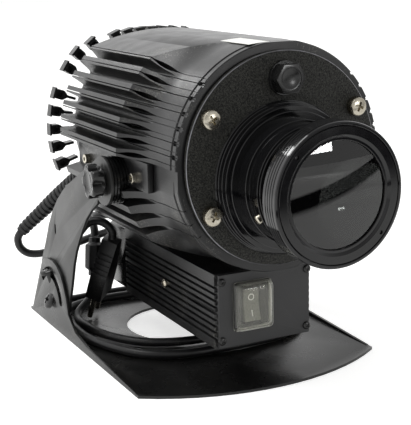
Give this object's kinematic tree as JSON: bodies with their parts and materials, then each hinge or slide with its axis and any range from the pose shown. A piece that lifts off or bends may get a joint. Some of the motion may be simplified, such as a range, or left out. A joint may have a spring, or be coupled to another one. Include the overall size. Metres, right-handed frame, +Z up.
{
  "type": "gobo projector",
  "caption": "Finned metal gobo projector with a focusing lens, on curved arms and a bent steel foot, with its power supply case slung under the head.",
  "frame": {"origin": "on the underside of the foot, on its centre line, straight below the axis the head tilts about", "axes": "+Z up; the lens points along -Y at rest; +X is to the right seen from the front"},
  "size_m": [0.2044, 0.3449, 0.2318],
  "materials": {
    "black_anodised": "satin",
    "black_coat": "matte",
    "foot_coat": "satin",
    "turned_black": "satin",
    "nickel": "gloss",
    "steel": "satin",
    "black_screw": "satin",
    "black_plastic": "satin",
    "rubber": "matte",
    "clear_silicone": "satin",
    "rocker_grey": "satin",
    "glass": "gloss",
    "aluminium": "satin",
    "circuit_board": "matte",
    "led_ceramic": "matte",
    "connector_grey": "matte"
  },
  "bodies": {
    "foot": {"base_plate": "foot_coat", "mains_cord": "rubber", "mains_plug": "black_plastic", "plug_pin_1": "nickel", "plug_pin_2": "nickel"},
    "yoke": {"arm_left": "foot_coat", "arm_right": "foot_coat", "arm_pivot_screw_left": "black_screw", "arm_pivot_screw_right": "black_screw", "arm_slot_screw_left": "black_screw", "arm_slot_screw_right": "black_screw", "cord_connector": "connector_grey", "mains_cord_drop": "rubber"},
    "head": {"heatsink_body": "black_anodised", "rear_heatsink": "black_anodised", "front_cover": "black_coat", "cover_gasket": "rubber", "cover_screw_1": "nickel", "cover_screw_2": "nickel", "cover_screw_3": "nickel", "cover_screw_4": "nickel", "vent_plug": "black_plastic", "lens_collar": "turned_black", "focus_lock_screw": "steel", "gobo_holder": "aluminium", "gobo_disc": "glass", "condenser_holder": "aluminium", "condenser_lens": "glass", "led_module": "led_ceramic", "heat_spreader": "aluminium", "tilt_bracket_right": "black_anodised", "bracket_screw_front_right": "steel", "bracket_screw_rear_right": "steel", "friction_disc_right": "black_plastic", "tilt_bracket_left": "black_anodised", "bracket_screw_front_left": "steel", "bracket_screw_rear_left": "steel", "friction_disc_left": "black_plastic", "driver_case": "black_anodised", "driver_front_plate": "black_coat", "driver_rear_cap": "black_plastic", "plate_screw_1": "black_screw", "plate_screw_2": "black_screw", "plate_screw_3": "black_screw", "plate_screw_4": "black_screw", "case_rail": "black_coat", "ground_screw": "steel", "driver_board": "circuit_board", "switch_frame": "black_plastic", "switch_boot": "clear_silicone", "led_lead_boot": "rubber", "led_lead": "rubber"},
    "focus": {"focus_tube": "turned_black", "lens_head": "turned_black", "lens_retainer": "turned_black", "front_lens": "glass", "rear_lens": "glass"},
    "knob_left": {"knob_left": "black_plastic"},
    "knob_right": {"knob_right": "black_plastic"},
    "rocker": {"rocker": "rocker_grey"}
  },
  "joints": [
    {"name": "yoke_tilt", "type": "hinge", "parent": "foot", "child": "yoke", "pos_m": [0, 0.1144, 0.0213], "axis": [-1, 0, 0], "range_deg": [0, 15], "deforming": ["mains_cord"]},
    {"name": "head_tilt", "type": "hinge", "parent": "yoke", "child": "head", "pos_m": [0, 0, 0.1375], "axis": [-1, 0, 0], "range_deg": [-40, 6], "deforming": ["mains_cord_drop"]},
    {"name": "focus_slide", "type": "slide", "parent": "head", "child": "focus", "axis": [0, -1, 0], "range_m": [-0.014, 0.008]},
    {"name": "knob_left_turn", "type": "hinge", "parent": "yoke", "child": "knob_left", "pos_m": [-0.095, 0, 0.1375], "axis": [-1, 0, 0], "continuous": true},
    {"name": "knob_right_turn", "type": "hinge", "parent": "yoke", "child": "knob_right", "pos_m": [0.095, 0, 0.1375], "axis": [1, 0, 0], "continuous": true},
    {"name": "rocker_tilt", "type": "hinge", "parent": "head", "child": "rocker", "pos_m": [-0.0125, -0.0581, 0.0535], "axis": [1, 0, 0], "range_deg": [0, 16]}
  ]
}
